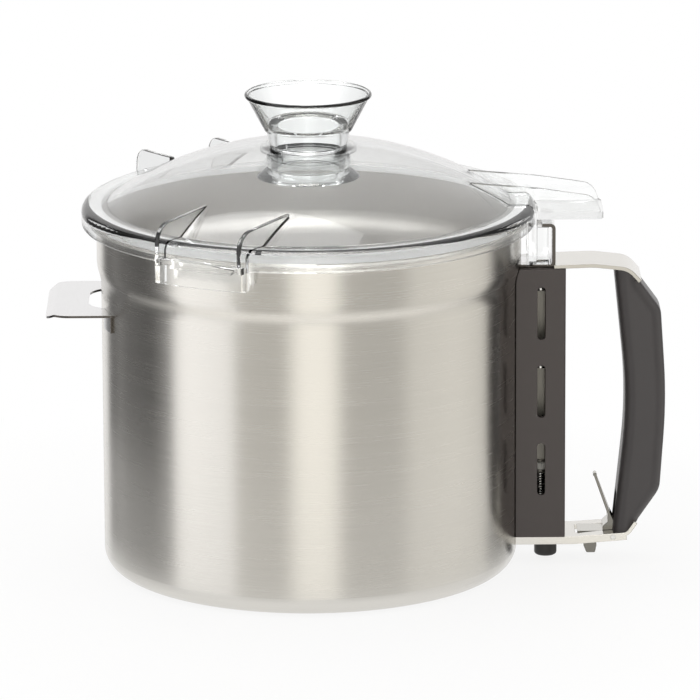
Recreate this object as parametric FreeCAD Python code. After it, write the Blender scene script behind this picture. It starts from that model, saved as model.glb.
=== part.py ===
"""Tabletop cutter bowl with a clear bayonet lid, a side handle and a lid interlock.

Millimetres, +Z up. The origin is where the bowl's axis meets the surface it stands on,
and the handle points towards +X.
"""
import FreeCAD
import Part
import math
import os

# Bowl, spun from stainless sheet
bowl_radius = 110.0
bowl_height = 190.0
bowl_sheet = 1.2
bowl_corner = 10.0
band_step = 2.2
band_height = 23.0
step_height = 13.0
rim_width = 3.4
rim_gap_margin = 2.0

# Drive column, a tube that the motor shaft comes up through
column_bore = 15.5
column_wall = 1.5
column_height = 100.0

# Lid, one clear moulding
lid_wall = 3.0
lid_clearance = 1.0
gasket_height = 4.2
gasket_width = 6.4
gasket_bow = 0.5
bead_height = 11.4
bead_wall = 3.4
bead_top_round = 5.0
bead_foot_round = 1.4
brim_width = 13.5
dome_rise = 31.4
unlock_angle = 20.0

# Bayonet lugs at the back and front of the lid
front_lug_azimuth = -117.5
back_lug_azimuth = 126.0
lug_span = 53.0
lug_depth = 7.2
lug_drop = 9.8
tooth_span = 34.0
tooth_height = 4.0
tooth_reach = 2.4
fin_spacing = 47.5
fin_wall = 2.8
fin_rake = 9.0
fin_run = 42.5
fin_top = 12.6
fin_fall = 3.2
fin_round = 10.0
fin_edge = 0.6

# Wing over the handle, with the lug that works the interlock
wing_reach = 35.0
wing_width = 34.0
wing_plate = 3.6
wing_drop = 7.6
wing_rib = 2.1
wing_step = 0.8
wing_rib_run = 22.0
wing_rib_root = 9.2
wing_rib_tip = 4.8
wing_round = 9.0
wing_corner = 4.0
wing_edge = 0.6
key_wall = 4.4
key_depth = 6.0
key_width = 20.0
key_ramp_margin = 0.6

# Funnel knob, its washer and the collar under the dome
funnel_rim = 33.5
funnel_height = 27.3
funnel_wall = 2.4
funnel_step_radius = 23.2
funnel_step_height = 7.7
funnel_step_band = 3.0
funnel_waist = 20.6
throat_radius = 16.3
spigot_wall = 2.7
washer_radius = 25.3
washer_height = 1.5
collar_radius = 21.9
collar_length = 10.5
collar_flare = 27.0
collar_flare_height = 4.6

# Hook bracket over the interlock rod
hook_drop = 25.6
hook_height = 20.3
hook_sheet = 1.8
hook_width = 24.0
hook_reach = 20.0
hook_lip = 7.2
hook_bend = 2.0

# Interlock housing, a moulded channel against the bowl wall
housing_depth = 25.4
housing_width = 32.0
housing_wall = 2.6
housing_end = 3.0
housing_edge = 1.2
slot_width = 4.2
slot_length = 28.6
slot_pitch = 42.6
slot_first = 9.6
boss_radius = 4.2
boss_length = 9.0

# Interlock rod and what is on it
rod_offset = 12.6
rod_radius = 3.0
rod_flat = 1.0
rod_travel = 4.0
rod_spigot = 2.0
clip_radius = 5.2
clip_thickness = 1.1
clip_drop = 15.0
clip_spacing = 42.6
seat_radius = 5.4
seat_height = 4.0
seat_chamfer = 0.5
foot_radius = 6.0
foot_height = 7.3
foot_offset = 3.0
foot_round = 1.6
magnet_radius = 2.6
magnet_height = 3.0
bush_radius = 5.0
bush_flange = 6.8
bush_flange_height = 2.0

# Rod spring
spring_wire = 0.9
spring_radius = 4.1
spring_length = 29.2
spring_turns = 18
spring_tail_bend = 1.2

# Handle straps
strap_sheet = 2.0
strap_width = 30.0
top_strap_rise = 0.7
top_strap_crest = 10.7
top_strap_run = 7.5
top_strap_end = 13.6
top_strap_fall = 2.0
top_strap_curl = 6.7
top_strap_arch = 45.0
top_strap_bend = 11.0
bottom_strap_height = 15.0
bottom_strap_rise = 2.0
bottom_strap_flat = 5.0
bottom_strap_run = 7.7
bottom_strap_end = 12.1
bottom_strap_curl = 6.4
bottom_strap_arch = 60.0
bottom_strap_bend = 5.0
flange_sheet = 1.8
flange_root = 2.3
flange_middle = 2.2
flange_end = 2.0
flange_tail = 7.4

# Grip
handle_reach = 51.0
grip_depth = 20.9
grip_width = 27.0
grip_arch = 7.4
grip_arch_radius = 250.0
grip_crown = 3.3
grip_crown_radius = 300.0
grip_shoulder = 23.0
grip_heel = 23.0
grip_chamfer_run = 11.6
grip_edge = 6.0
grip_shoulder_round = 10.0
grip_heel_round = 14.0
core_sheet = 3.0
core_width = 12.0

# Bowl latch worked by the trigger
trigger_height = 31.2
trigger_lean = 9.2
trigger_width = 14.0
trigger_sheet = 1.4
trigger_base = 4.4
trigger_knee = 1.8
trigger_knee_height = 10.7
trigger_shin_height = 6.0
trigger_toe_height = 3.7
trigger_bend = 1.2
trigger_cheek = 11.4
trigger_tip_width = 4.6
trigger_tip_roll = 1.0
trigger_leg = 18.6
trigger_swing = 14.0
pivot_radius = 1.2
pivot_ear = 3.0
pocket_height = 22.0
pawl_width = 8.0
pawl_length = 6.9
pawl_nose = 3.8
pawl_drop = 11.4
trigger_spring_wire = 0.8
trigger_spring_radius = 2.3
trigger_spring_turns = 4
trigger_spring_pitch = 1.4
trigger_spring_leg = 4.0

# Side ear
ear_drop = 9.5
ear_reach = 28.6
ear_width = 77.0
ear_sheet = 1.2
ear_gap = 6.6
ear_gap_width = 46.0
ear_gap_round = 14.0
ear_corner = 13.0
ear_bend = 2.4
ear_lip_run = 4.6
ear_lip_drop = 2.6
ear_tongue = 9.6
ear_tongue_width = 13.0

# Blade set
blade_sheet = 2.2
blade_radius = 102.0
blade_root = 15.0
blade_sweep = 26.0
hub_radius = 23.0
hub_flange = 29.0
hub_flange_height = 3.0
hub_lift = 3.0
hub_crown = 14.0
hub_top = 24.0
hub_crown_round = 6.0
socket_radius = 7.0
socket_depth = 16.0
keyway_width = 4.0
keyway_depth = 2.0
spacer_height = 36.0
nut_height = 9.0
nut_radius = 28.0
nut_chamfer = 2.2

# Screws that hold the housing
screw_radius = 2.0
screw_head = 3.7
screw_length = 10.0

# Clearances
running = 0.05
seat_gap = 0.3
weld_gap = 0.02
free_gap = 0.8
window_gap = 0.6

# Levels and radii that follow from the sizes above
band_radius = bowl_radius + band_step
rim_radius = band_radius + rim_width
step_top = bowl_height - band_height
step_bottom = step_top - step_height
ear_height = step_bottom - ear_drop
column_radius = column_bore + column_wall
bead_inner = rim_radius + lid_clearance
bead_end = bead_inner + bead_wall
brim_under = bowl_height + seat_gap + gasket_height
brim_top = brim_under + lid_wall
bead_bottom = brim_top - bead_height
dome_base = bead_end - brim_width
dome_radius = (dome_base ** 2 + dome_rise ** 2) / (2 * dome_rise)
dome_centre = brim_top + dome_rise - dome_radius
lug_outer = bead_inner + lug_depth
lug_bottom = bead_bottom - lug_drop
hook_base = bowl_height - hook_drop
housing_top = hook_base - hook_sheet
housing_bottom = bottom_strap_height + strap_sheet / 2
housing_face = bowl_radius + housing_depth
hook_face = bowl_radius + hook_reach
rod_x = bowl_radius + rod_offset
key_bottom = hook_base + free_gap
rod_top = key_bottom - seat_gap
clip_top = rod_top - clip_drop
upper_bush_bottom = clip_top + rod_travel + seat_gap
lower_bush_top = housing_bottom + housing_end + bush_flange_height
spring_top = lower_bush_top + spring_length
strap_under = bottom_strap_height - strap_sheet / 2
foot_top = strap_under - rod_travel - seat_gap
foot_floor = foot_top - foot_height
grip_inner = bowl_radius + handle_reach
grip_outer = grip_inner + grip_depth
pivot_x = grip_inner
fin_level = brim_top + fin_top


def vec(x, y, z):
    return FreeCAD.Vector(x, y, z)


def in_xz(u, v):
    return vec(u, 0, v)


def in_xy(u, v):
    return vec(u, v, 0)


def in_yz(u, v):
    return vec(0, u, v)


def outline(place, start, *steps):
    """Closed wire: a step is a point for a straight run, or (via, end) for an arc."""
    edges = []
    here = start
    for step in steps + (start,):
        if isinstance(step[0], tuple):
            via, end = step
            edges.append(Part.Arc(place(*here), place(*via), place(*end)).toShape())
        else:
            end = step
            if math.dist(here, end) > 1e-6:
                edges.append(Part.LineSegment(place(*here), place(*end)).toShape())
        here = end
    return Part.Wire(edges)


def rounded(place, corners):
    """Closed wire through (u, v, radius) corners, each rounded by its radius."""
    steps = []
    count = len(corners)
    for i, (u, v, radius) in enumerate(corners):
        before = corners[i - 1]
        after = corners[(i + 1) % count]
        steps.extend(corner_steps(before, (u, v), after, radius))
    return outline(place, steps[0], *steps[1:])


def corner_steps(before, corner, after, radius):
    """Steps that bring an outline round one corner with a tangent arc."""
    u, v = corner
    if radius <= 0:
        return [corner]
    back = unit(before[0] - u, before[1] - v)
    ahead = unit(after[0] - u, after[1] - v)
    half = math.acos(max(-1.0, min(1.0, back[0] * ahead[0] + back[1] * ahead[1]))) / 2
    reach = radius / math.tan(half)
    middle = unit(back[0] + ahead[0], back[1] + ahead[1])
    rise = radius / math.sin(half) - radius
    start = (u + back[0] * reach, v + back[1] * reach)
    via = (u + middle[0] * rise, v + middle[1] * rise)
    end = (u + ahead[0] * reach, v + ahead[1] * reach)
    return [start, (via, end)]


def unit(u, v):
    length = math.hypot(u, v)
    return (u / length, v / length)


def height_on(first, second, u):
    """Height at u on the straight line through two points."""
    return first[1] + (second[1] - first[1]) * (u - first[0]) / (second[0] - first[0])


def shifted(points, distance):
    """The corners of a bent line moved sideways, to the left of its run when positive."""
    normals = []
    for (u0, v0), (u1, v1) in zip(points, points[1:]):
        du, dv = unit(u1 - u0, v1 - v0)
        normals.append((-dv, du))
    moved = []
    for i, (u, v) in enumerate(points):
        first = normals[max(i - 1, 0)]
        second = normals[min(i, len(normals) - 1)]
        share = distance / (1 + first[0] * second[0] + first[1] * second[1])
        moved.append((u + (first[0] + second[0]) * share, v + (first[1] + second[1]) * share))
    return moved


def bent_strip(points, radii, sheet):
    """Side view of a bent sheet strip: corners and bend radii along its middle."""
    left = shifted(points, sheet / 2)
    right = shifted(points, -sheet / 2)
    corners = [(*left[0], 0)]
    returning = [(*right[0], 0)]
    for i, radius in enumerate(radii, start=1):
        before, here, after = points[i - 1], points[i], points[i + 1]
        run_in = (here[0] - before[0], here[1] - before[1])
        run_out = (after[0] - here[0], after[1] - here[1])
        turn = math.copysign(1, run_in[0] * run_out[1] - run_in[1] * run_out[0])
        corners.append((*left[i], radius - turn * sheet / 2))
        returning.append((*right[i], radius + turn * sheet / 2))
    corners.append((*left[-1], 0))
    returning.append((*right[-1], 0))
    return rounded(in_xz, corners + returning[::-1])


def turned(wire):
    """Solid turned about the bowl's axis from an outline of (radius, height)."""
    return Part.Face(wire).revolve(vec(0, 0, 0), vec(0, 0, 1), 360)


def pressed(wire, middle, width):
    """Solid of a side outline carried across the handle's width."""
    face = Part.Face(wire)
    face.translate(vec(0, middle - width / 2, 0))
    return face.extrude(vec(0, width, 0))


def softened(shape, middle, width, floor, radius):
    """A pressed shape with the edges of its two faces rounded, apart from those at its floor."""
    edges = []
    for edge in shape.Edges:
        box = edge.BoundBox
        if box.YLength < 1e-6 and abs(abs(box.YMin - middle) - width / 2) < 1e-6 and box.ZMax > floor + 1e-6:
            edges.append(edge)
    return shape.makeFillet(min(radius, 0.4 * width), edges)


def block(x0, x1, y0, y1, z0, z1):
    return Part.makeBox(x1 - x0, y1 - y0, z1 - z0, vec(x0, y0, z0))


def post(x, y, z0, z1, radius):
    return Part.makeCylinder(radius, z1 - z0, vec(x, y, z0))


def ring(inner, outer, z0, z1):
    return post(0, 0, z0, z1, outer).cut(post(0, 0, z0, z1, inner))


def sector(inner, outer, z0, z1, middle, half):
    """Part of a ring, half degrees to each side of the middle azimuth."""
    wedge = Part.makeCylinder(outer, z1 - z0, vec(0, 0, z0), vec(0, 0, 1), 2 * half)
    wedge = wedge.cut(post(0, 0, z0, z1, inner))
    wedge.rotate(vec(0, 0, 0), vec(0, 0, 1), middle - half)
    return wedge


def half_angle(width, radius):
    """Half of the angle that a width takes up at a radius, in degrees."""
    return math.degrees(math.asin(width / 2 / radius))


def dome_height(radius, inset=0.0):
    """Height of the dome's outer skin, or of one inset from it, at a radius."""
    return dome_centre + math.sqrt((dome_radius - inset) ** 2 - radius ** 2)


def joined(first, *others):
    return first.fuse(list(others)).removeSplitter()


def on_wall_side(shape, clearance):
    """A fitting with the bowl's outside taken away from it."""
    return shape.cut(turned(bowl_outside(clearance)))


def eased(r0, z0, r1, z1):
    """Two tangent arcs that lead a vertical wall from one radius to another."""
    rise = (z1 - z0) / 2
    shift = (r1 - r0) / 2
    bend = (rise ** 2 + shift ** 2) / (2 * shift)
    angle = math.asin(rise / bend) / 2
    side = bend * (1 - math.cos(angle))
    along = bend * math.sin(angle)
    middle = ((r0 + r1) / 2, (z0 + z1) / 2)
    return [((r0 + side, z0 + along), middle), ((r1 - side, z1 - along), (r1, z1))]


def bowl_outside(clearance):
    """Half section of the space that the bowl's wall fills, with a clearance round it."""
    wall = bowl_radius + clearance
    band = band_radius + clearance
    return outline(in_xz, (0, -clearance), (wall, -clearance), (wall, step_bottom),
                   *eased(wall, step_bottom, band, step_top), (band, bowl_height), (0, bowl_height))


def make_bowl_shell():
    """Spun bowl with a rounded foot, a stepped-out band and a flanged rim with bayonet gaps."""
    inner_wall = bowl_radius - bowl_sheet
    inner_band = band_radius - bowl_sheet
    foot = bowl_radius - bowl_corner
    lean = math.sqrt(0.5)
    inner_corner = bowl_corner - bowl_sheet
    hole = column_radius + weld_gap
    rim_under = bowl_height - bowl_sheet
    outside_corner = ((foot + bowl_corner * lean, bowl_corner * (1 - lean)), (bowl_radius, bowl_corner))
    inside_corner = ((foot + inner_corner * lean, bowl_corner - inner_corner * lean), (foot, bowl_sheet))
    shell = turned(outline(
        in_xz, (hole, 0), (foot, 0), outside_corner, (bowl_radius, step_bottom),
        *eased(bowl_radius, step_bottom, band_radius, step_top), (band_radius, rim_under),
        (rim_radius, rim_under), (rim_radius, bowl_height), (inner_band, bowl_height),
        (inner_band, step_top), *eased(inner_band, step_top, inner_wall, step_bottom),
        (inner_wall, bowl_corner), inside_corner, (hole, bowl_sheet)))
    gap_half = half_angle(tooth_span + 2 * rim_gap_margin, bead_inner)
    for azimuth in (front_lug_azimuth, back_lug_azimuth):
        shell = shell.cut(sector(band_radius, rim_radius + lid_clearance, rim_under - lid_clearance,
                                 bowl_height + lid_clearance, azimuth + unlock_angle, gap_half))
    return shell


def make_drive_column():
    """Central tube welded into the bowl's floor."""
    return ring(column_bore, column_radius, 0, column_height)


def make_side_ear():
    """Bent sheet ear: a plate with a finger gap, an end bent down and tongues on the wall."""
    edge = -bowl_radius - ear_reach
    half = ear_width / 2
    bend = edge + ear_lip_run
    under = ear_height - ear_sheet
    side = rounded(in_xz, [
        (0, ear_height, 0), (bend, ear_height, ear_bend + ear_sheet), (edge, ear_height - ear_lip_drop, 0),
        (edge, under - ear_lip_drop, 0), (bend, under, ear_bend), (0, under, 0)])
    plan = rounded(in_xy, [(edge, -half, ear_corner), (0, -half, 0), (0, half, 0), (edge, half, ear_corner)])
    ear = pressed(side, 0, ear_width).common(Part.Face(plan).extrude(vec(0, 0, bowl_height)))
    gap_end = -bowl_radius - ear_gap
    gap_half = ear_gap_width / 2
    gap_plan = rounded(in_xy, [(gap_end, -gap_half, ear_gap_round), (0, -gap_half, 0),
                               (0, gap_half, 0), (gap_end, gap_half, ear_gap_round)])
    ear = on_wall_side(ear.cut(Part.Face(gap_plan).extrude(vec(0, 0, bowl_height))), weld_gap)
    tongue_middle = 180 - half_angle(ear_width - ear_tongue_width, bowl_radius)
    for azimuth in (tongue_middle, -tongue_middle):
        tongue = sector(bowl_radius + weld_gap, bowl_radius + weld_gap + ear_sheet, ear_height - ear_tongue,
                        ear_height, azimuth, half_angle(ear_tongue_width, bowl_radius))
        ear = joined(ear, tongue)
    return ear


def make_hook_bracket():
    """Strip bent into a C that is open towards the bowl, welded to the wall at its base."""
    low = hook_base - hook_sheet / 2
    high = hook_base + hook_height + hook_sheet / 2
    side = hook_face - hook_sheet / 2
    path = [(bowl_radius, low), (side, low), (side, high), (hook_face - hook_lip, high)]
    bracket = pressed(bent_strip(path, [hook_bend, hook_bend], hook_sheet), 0, hook_width)
    bracket = on_wall_side(bracket, weld_gap)
    bracket = bracket.cut(post(rod_x, 0, housing_top, hook_base, rod_radius + seat_gap))
    for seat in screw_seats():
        bracket = bracket.cut(seat)
    return bracket


def top_strap_path():
    """Corners along the middle of the top strap, from the hook bracket to the grip's shoulder."""
    start = housing_top + strap_sheet / 2
    arch = start + top_strap_rise
    return [(hook_face - hook_sheet / 2, start), (grip_inner - top_strap_crest, arch),
            (grip_inner + top_strap_run, arch - top_strap_fall),
            (grip_inner + top_strap_end, arch - top_strap_fall - top_strap_curl)]


def bottom_strap_path():
    """Corners along the middle of the bottom strap, from the bowl to the grip's heel."""
    rise = bottom_strap_height + bottom_strap_rise
    return [(bowl_radius - bowl_sheet, bottom_strap_height),
            (housing_face + bottom_strap_flat, bottom_strap_height),
            (grip_inner + bottom_strap_run, rise),
            (grip_inner + bottom_strap_end, rise + bottom_strap_curl)]


def make_handle_top_strap():
    """Strap from the hook bracket, over the housing, to the grip's shoulder."""
    side_view = bent_strip(top_strap_path(), [top_strap_arch, top_strap_bend], strap_sheet)
    strap = pressed(side_view, 0, strap_width)
    strap = strap.cut(make_hook_bracket())
    return max(strap.Solids, key=lambda solid: solid.Volume)


def trigger_window(gap):
    """Space in the bottom strap and the grip that the trigger turns in."""
    half = trigger_width / 2 + gap
    return block(pivot_x - trigger_leg - 2 * gap, pivot_x + pivot_ear + gap, -half, half,
                 0, bottom_strap_height + bottom_strap_rise + strap_sheet)


def make_handle_bottom_strap():
    """Strap with turned-down flanges, a window for the trigger and a curl round the grip's heel."""
    path = bottom_strap_path()
    side_view = bent_strip(path, [bottom_strap_arch, bottom_strap_bend], strap_sheet)
    strap = pressed(side_view, 0, strap_width)
    under = shifted(path, -strap_sheet / 2)
    tail_x = grip_inner + flange_tail
    tail_z = height_on(under[1], under[2], tail_x)
    flange_line = rounded(in_xz, [
        (*under[0], 0), (*under[1], bottom_strap_arch), (tail_x, tail_z, 0), (tail_x, tail_z - flange_end, 0),
        (under[1][0], under[1][1] - flange_middle, bottom_strap_arch),
        (under[0][0], under[0][1] - flange_root, 0)])
    for side in (1, -1):
        flange = pressed(flange_line, side * (strap_width - flange_sheet) / 2, flange_sheet)
        strap = joined(strap, flange)
    strap = strap.cut(trigger_window(window_gap))
    strap = on_wall_side(strap, weld_gap)
    strap = strap.cut(post(rod_x, 0, 0, housing_bottom, rod_radius + seat_gap))
    strap = strap.cut(pivot_bore(running, strap_width))
    for seat in screw_seats():
        strap = strap.cut(seat)
    return strap


def make_interlock_housing():
    """Moulded channel with viewing slots, end walls, screw bosses and ribs that guide the rod."""
    half = housing_width / 2
    shell = block(0, housing_face, -half, half, housing_bottom, housing_top)
    outer_edges = []
    for edge in shell.Edges:
        middle = edge.BoundBox.Center
        if middle.x > housing_face - 1e-6 and abs(abs(middle.y) - half) < 1e-6:
            outer_edges.append(edge)
    shell = shell.makeFillet(min(housing_edge, housing_wall), outer_edges)
    inside = half - housing_wall
    shell = shell.cut(block(0, housing_face - housing_wall, -inside, inside,
                            housing_bottom + housing_end, housing_top - housing_end))
    floor = housing_bottom + housing_end
    ceiling = housing_top - housing_end
    for x, y, below in screw_places():
        boss = post(x, y, floor, floor + boss_length, boss_radius)
        if not below:
            boss = post(x, y, ceiling - boss_length, ceiling, boss_radius)
        shell = joined(shell, boss)
    for slot in slot_heights():
        shell = shell.cut(slot_cut(slot))
    for low, high in zip(slot_heights()[1:], slot_heights()):
        middle = (low + slot_length + high) / 2
        rib = block(bowl_radius, housing_face - housing_wall, -inside, inside,
                    middle - housing_wall / 2, middle + housing_wall / 2)
        shell = joined(shell, rib.cut(post(rod_x, 0, housing_bottom, housing_top, rod_radius + seat_gap)))
    for z in (housing_bottom, ceiling):
        shell = shell.cut(post(rod_x, 0, z, z + housing_end, bush_radius + weld_gap))
    for x, y, below in screw_places():
        start = housing_bottom if below else housing_top - screw_length
        shell = shell.cut(post(x, y, start, start + screw_length, screw_radius + weld_gap))
    return on_wall_side(shell, seat_gap)


def slot_heights():
    """Bottom of each viewing slot, from the top one down, as many as the housing has room for."""
    heights = []
    z = housing_top - slot_first - slot_length
    while z > housing_bottom + housing_end + slot_first:
        heights.append(z)
        z -= slot_pitch
    return heights


def slot_cut(z):
    """Round-ended slot through the housing's front wall."""
    half = housing_width / 2
    radius = slot_width / 2
    straight = block(rod_x - radius, rod_x + radius, -half, housing_wall - half,
                     z + radius, z + slot_length - radius)
    ends = []
    for end in (z + radius, z + slot_length - radius):
        ends.append(Part.makeCylinder(radius, housing_wall, vec(rod_x, -half, end), vec(0, 1, 0)))
    return joined(straight, *ends)


def screw_places():
    """Axis of each housing screw, and whether it comes from below."""
    top_x = band_radius + screw_head + seat_gap
    low_x = rod_x + bush_flange + weld_gap
    side = housing_width / 2 - housing_wall - boss_radius
    return [(top_x, side, False), (top_x, -side, False), (low_x, side, True), (low_x, -side, True)]


def screw_solid(x, y, below, gap):
    """Countersunk screw with its head flush in the sheet that it holds."""
    sink = screw_head - screw_radius
    head = Part.makeCone(screw_head + gap, screw_radius + gap, sink)
    shank = Part.makeCylinder(screw_radius + gap, screw_length)
    screw = joined(head, shank)
    if below:
        screw.translate(vec(x, y, housing_bottom - strap_sheet))
    else:
        screw.rotate(vec(0, 0, 0), vec(1, 0, 0), 180)
        screw.translate(vec(x, y, hook_base))
    return screw


def screw_seats():
    return [screw_solid(x, y, below, weld_gap) for x, y, below in screw_places()]


def make_housing_screws():
    """Four screws: two through the hook bracket, two through the bottom strap."""
    return Part.Compound([screw_solid(x, y, below, 0) for x, y, below in screw_places()])


def guide_bush(z0, z1, flange_low):
    """Flanged bush round the rod."""
    flange = post(rod_x, 0, flange_low, flange_low + bush_flange_height, bush_flange)
    bush = joined(post(rod_x, 0, z0, z1, bush_radius), flange)
    return bush.cut(post(rod_x, 0, z0, z1, rod_radius + running))


def make_upper_guide_bush():
    return guide_bush(upper_bush_bottom, housing_top, housing_top - housing_end - bush_flange_height)


def make_lower_guide_bush():
    return guide_bush(housing_bottom, lower_bush_top, housing_bottom + housing_end)


def make_interlock_rod():
    """Turned rod with a thinner end held in the foot, and a flat milled behind the housing's slots."""
    rod = joined(post(rod_x, 0, foot_top, rod_top, rod_radius),
                 post(rod_x, 0, foot_floor + foot_height / 2, foot_top, rod_spigot))
    return rod.cut(block(rod_x - rod_radius, rod_x + rod_radius, -rod_radius, rod_flat - rod_radius,
                         spring_top + seat_height + clip_thickness, clip_top - 2 * clip_thickness))


def make_rod_clips():
    """Two spring clips that stop the rod's rise."""
    clips = []
    for top in (clip_top, clip_top - clip_spacing):
        clip = post(rod_x, 0, top - clip_thickness, top, clip_radius)
        clips.append(clip.cut(post(rod_x, 0, top - clip_thickness, top, rod_radius + weld_gap)))
    return Part.Compound(clips)


def make_rod_spring_seat():
    """Collar on the rod that the spring pushes against."""
    seat = post(rod_x, 0, spring_top, spring_top + seat_height, seat_radius)
    seat = seat.cut(post(rod_x, 0, spring_top, spring_top + seat_height, rod_radius + weld_gap))
    edges = [edge for edge in seat.Edges if edge.BoundBox.XLength > 2 * seat_radius - 1e-3]
    return seat.makeChamfer(seat_chamfer, [edge for edge in edges if edge.BoundBox.ZLength < 1e-3])


def make_rod_foot():
    """Moulded foot that comes down on the switch in the base."""
    centre = rod_x + foot_offset
    foot = post(centre, 0, foot_floor, foot_top, foot_radius)
    low_edges = [edge for edge in foot.Edges if edge.BoundBox.ZMax < foot_floor + 1e-6]
    foot = foot.makeFillet(foot_round, low_edges)
    foot = foot.cut(post(rod_x, 0, foot_floor + foot_height / 2, foot_top, rod_spigot + weld_gap))
    return foot.cut(post(magnet_x(), 0, foot_top - magnet_height, foot_top, magnet_radius + weld_gap))


def magnet_x():
    """The magnet sits beside the rod's end, midway to the far side of the foot."""
    return (rod_x + rod_spigot + rod_x + foot_offset + foot_radius) / 2


def make_foot_magnet():
    return post(magnet_x(), 0, foot_top - magnet_height, foot_top, magnet_radius)


def tangent_arc(start, corner, end):
    """Arc from start to end whose tangents meet at the corner, which is equally far from both."""
    middle = (start + end) / 2
    rise = corner - middle
    half = (end - start).Length / 2
    bow = half * math.tan(math.atan2(rise.Length, half) / 2)
    return Part.Arc(start, middle + rise.normalize() * bow, end).toShape()


def biarc(start, out, end, into):
    """Two tangent arcs between two points with given directions."""
    chord = end - start
    both = out + into
    a = 2 * (1 - out.dot(into))
    b = 2 * chord.dot(both)
    reach = (-b + math.sqrt(b * b + 4 * a * chord.dot(chord))) / (2 * a)
    first = start + out * reach
    second = end - into * reach
    meet = (first + second) / 2
    return [tangent_arc(start, first, meet), tangent_arc(meet, second, end)]


def coil(point, quarters):
    """Arcs along a helix, where point(i) gives the place and direction at each quarter turn."""
    edges = []
    for i in range(quarters):
        start, out = point(i)
        end, into = point(i + 1)
        edges.extend(biarc(start, out, end, into))
    return edges


def wire_tube(edges, start, direction, wire):
    """Solid of round wire along a path."""
    profile = Part.Wire(Part.makeCircle(wire / 2, start, direction))
    return Part.Wire(edges).makePipeShell([profile], True, False)


def print_least_gap(name, edges, wire):
    """Least gap of a coil to itself, measured on points a turn and more apart along its path."""
    points = []
    for edge in edges:
        points.extend(edge.discretize(9)[:-1])
    lengths = [0.0]
    for a, b in zip(points, points[1:]):
        lengths.append(lengths[-1] + (b - a).Length)
    least = min((points[j] - points[i]).Length for i in range(len(points))
                for j in range(i + 1, len(points)) if lengths[j] - lengths[i] > 6 * wire)
    print(name, "least gap to itself", round(least - wire, 3))


def make_rod_spring():
    """Compression spring between the lower bush and the seat on the rod."""
    tail = spring_wire + spring_tail_bend
    low = lower_bush_top + tail
    high = spring_top - tail
    quarters = 4 * spring_turns
    rise = (high - low) / quarters
    climb = rise / (spring_radius * math.pi / 2)

    def point(i):
        angle = i * math.pi / 2
        place = vec(rod_x + spring_radius * math.cos(angle), spring_radius * math.sin(angle), low + i * rise)
        return place, vec(-math.sin(angle), math.cos(angle), climb).normalize()

    first, out = point(0)
    last, into = point(quarters)
    turns = coil(point, quarters)
    up = vec(0, 0, 1)
    flat_out = vec(out.x, out.y, 0).normalize()
    flat_in = vec(into.x, into.y, 0).normalize()
    low_bend = first - flat_out * spring_tail_bend - up * spring_tail_bend
    high_bend = last + flat_in * spring_tail_bend + up * spring_tail_bend
    low_end = vec(low_bend.x, low_bend.y, lower_bush_top)
    high_end = vec(high_bend.x, high_bend.y, spring_top)
    edges = [Part.LineSegment(low_end, low_bend).toShape()]
    edges.extend(biarc(low_bend, up, first, out))
    edges.extend(turns)
    edges.extend(biarc(last, into, high_bend, up))
    edges.append(Part.LineSegment(high_bend, high_end).toShape())
    print_least_gap("rod_spring", edges, spring_wire)
    return wire_tube(edges, low_end, up, spring_wire)


def pivot_level():
    """Height of the trigger's pivot, midway down the bottom strap's flange."""
    path = bottom_strap_path()
    return height_on(path[1], path[2], pivot_x) - flange_end / 2


def pivot_bore(gap, width):
    return Part.makeCylinder(pivot_radius + gap, width, vec(pivot_x, -width / 2, pivot_level()), vec(0, 1, 0))


def make_trigger_pivot_pin():
    return pivot_bore(0, strap_width)


def trigger_path():
    """Corners along the middle of the lever's strip, from its tip down to its toe and along its leg."""
    z = pivot_level()
    knee_x = pivot_x - trigger_knee
    toe_x = pivot_x - trigger_base
    leg_z = z + trigger_sheet / 2
    return [(pivot_x - trigger_lean, z + trigger_height), (knee_x, z + trigger_knee_height),
            (knee_x, z + trigger_shin_height), (toe_x, z + trigger_toe_height), (toe_x, leg_z),
            (pivot_x - trigger_leg, leg_z)]


def make_trigger_lever():
    """Pressed lever: a pointed upright to squeeze, ears on the pivot and a leg over the pawl."""
    z = pivot_level()
    half = trigger_width / 2
    tip_half = trigger_tip_width / 2
    path = trigger_path()
    tip, knee, shin, toe = path[:4]
    side = trigger_sheet / 2
    strip = pressed(bent_strip(path, [trigger_bend] * (len(path) - 2), trigger_sheet), 0, trigger_width)
    cheek_top = z + trigger_cheek
    front = Part.Face(outline(in_yz, (-half, 0), (half, 0), (half, cheek_top), (tip_half, tip[1]),
                              (-tip_half, tip[1]), (-half, cheek_top)))
    lever = strip.common(front.extrude(vec(2 * pivot_x, 0, 0)))
    ear_round = pivot_ear - pivot_radius
    share = (cheek_top - knee[1]) / (tip[1] - knee[1])
    cheek_x = knee[0] + share * (tip[0] - knee[0])
    cheek_line = rounded(in_xz, [
        (cheek_x - side, cheek_top, 0), (cheek_x + side, cheek_top, 0),
        (pivot_x + pivot_ear / 2, z + pivot_ear + trigger_spring_radius, pivot_ear),
        (pivot_x + pivot_ear, z, pivot_radius), (pivot_x + pivot_ear / 2, z - pivot_ear, ear_round),
        (pivot_x - pivot_ear / 2, z - pivot_ear, ear_round), (toe[0] - side, z, 0),
        (toe[0] - side, toe[1], 0), (shin[0] - side, shin[1], 0), (knee[0] - side, knee[1], 0)])
    for turn in (1, -1):
        lever = joined(lever, pressed(cheek_line, turn * (half - side), trigger_sheet))
    roll = Part.makeCylinder(trigger_tip_roll, trigger_tip_width, vec(tip[0], -tip_half, tip[1]),
                             vec(0, 1, 0))
    lever = joined(lever, roll)
    return lever.cut(pivot_bore(running, strap_width))


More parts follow.
